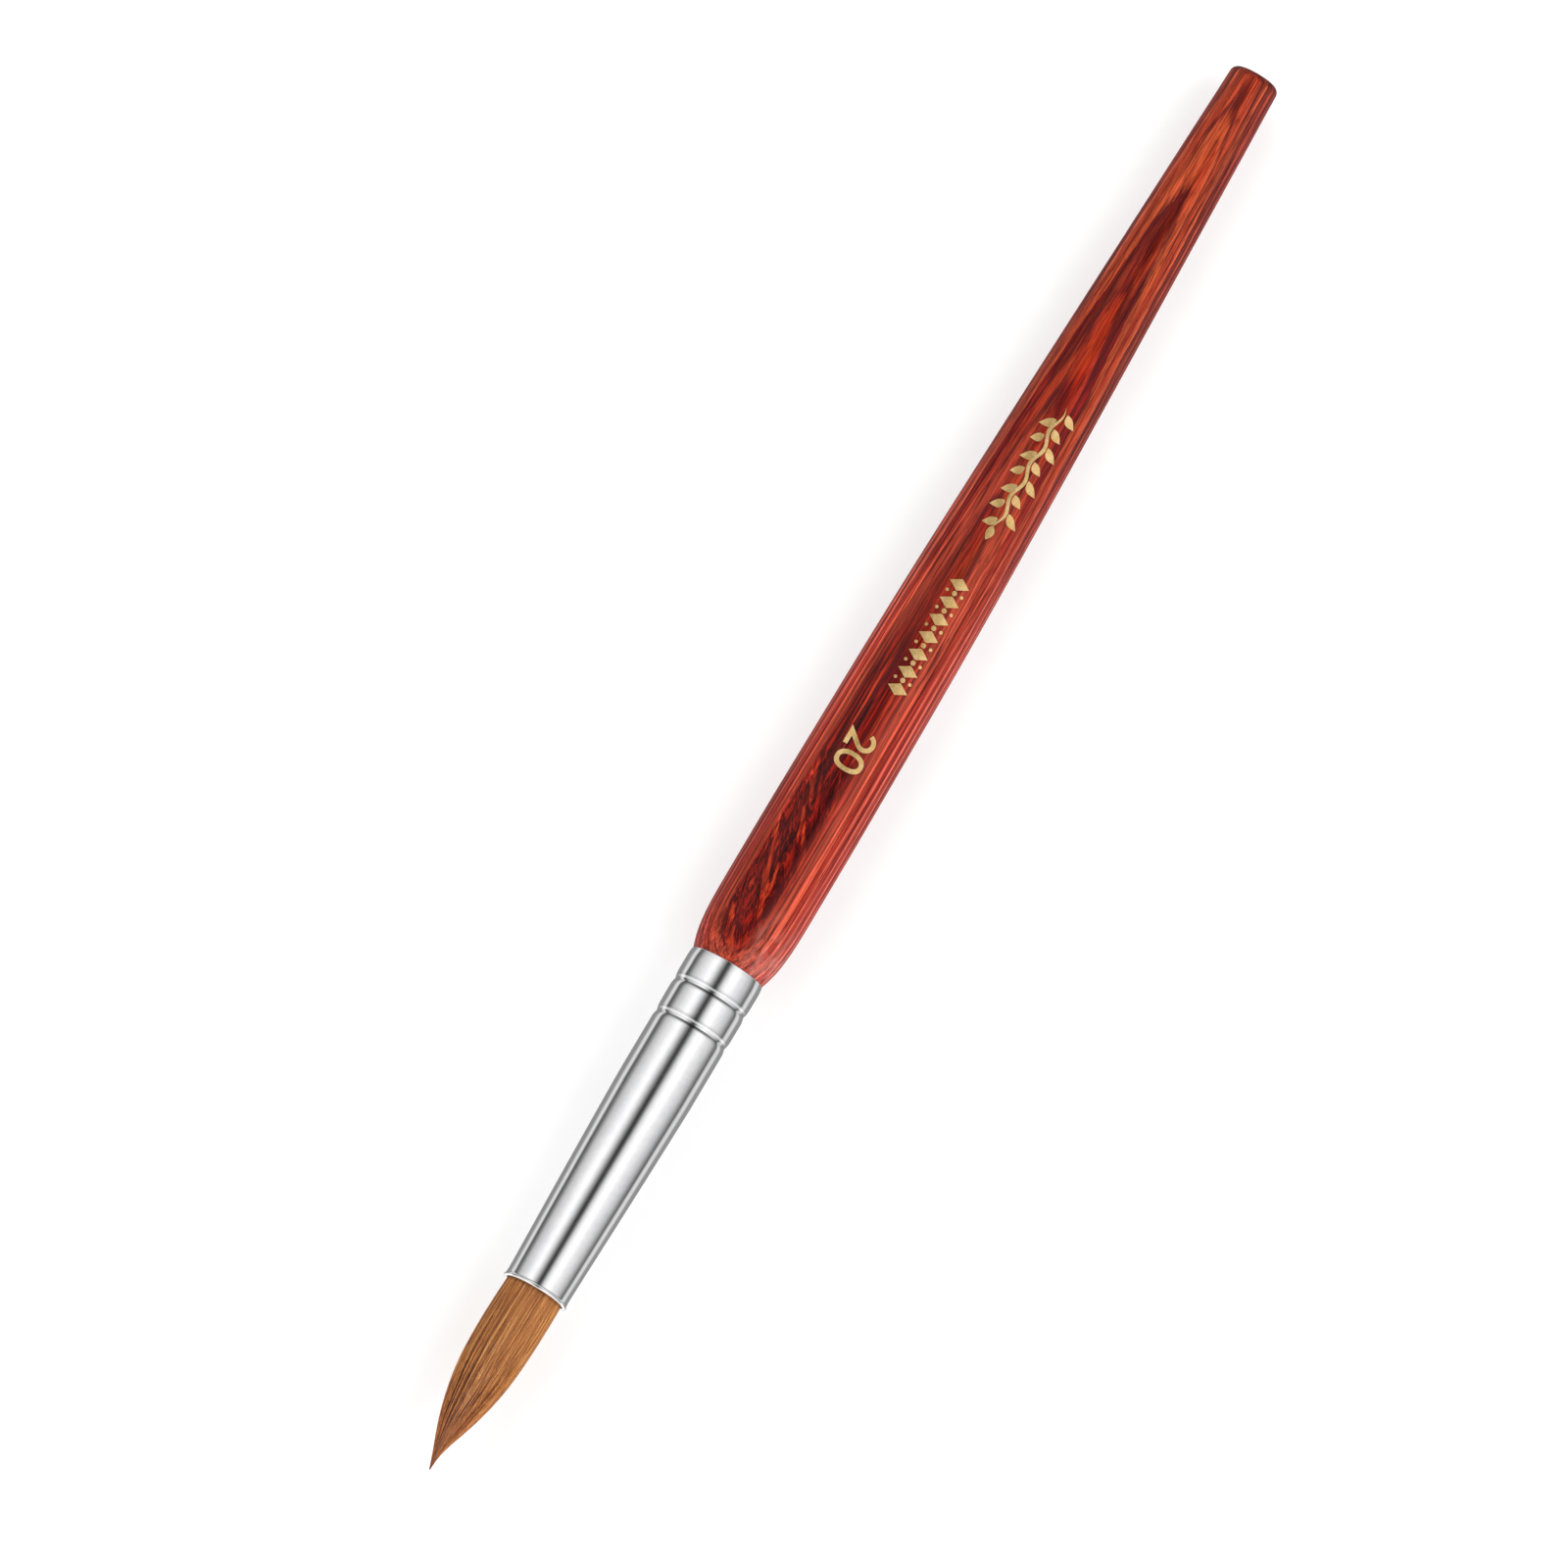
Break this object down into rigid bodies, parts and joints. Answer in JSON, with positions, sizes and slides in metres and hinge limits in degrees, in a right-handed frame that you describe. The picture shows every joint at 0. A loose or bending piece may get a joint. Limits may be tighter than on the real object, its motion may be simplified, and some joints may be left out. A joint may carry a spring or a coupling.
{
  "type": "acrylic nail brush",
  "caption": "Round nail brush: turned laminated wood handle, tapered crimped metal ferrule and a pointed natural hair tuft that flexes.",
  "frame": {"origin": "centre of the flat butt face at the end of the handle, on the brush's axis", "axes": "+X along the brush's axis from the butt to the hair tip, +Z the stamped side of the handle, +Y completes a right-handed frame"},
  "size_m": [0.185, 0.011, 0.011],
  "materials": {
    "laminated_wood": "dyed laminated veneer, turned and clear lacquered",
    "nickel_plate": "polished nickel plate with fine drawing lines",
    "glue": "cured glue film",
    "sable_hair": "natural red-brown hair",
    "thread": "waxed thread",
    "resin": "set epoxy",
    "gold_foil": "hot stamped gold foil"
  },
  "bodies": {
    "handle_body": {"handle": "laminated_wood", "ferrule": "nickel_plate", "tenon_glue": "glue", "hair_root": "sable_hair", "binding_thread": "thread", "root_resin": "resin", "leaf_sprig_foil": "gold_foil", "lozenge_row_foil": "gold_foil", "size_mark_foil": "gold_foil"},
    "tuft_body": {"hair_tuft": "sable_hair"}
  },
  "joints": [
    {"name": "hair_flex", "type": "hinge", "parent": "handle_body", "child": "tuft_body", "pos_m": [0.1626, 0, 0], "axis": [0, 0, 1], "range_deg": [-25, 25], "stiffness_Nm_per_rad": 0.002}
  ]
}
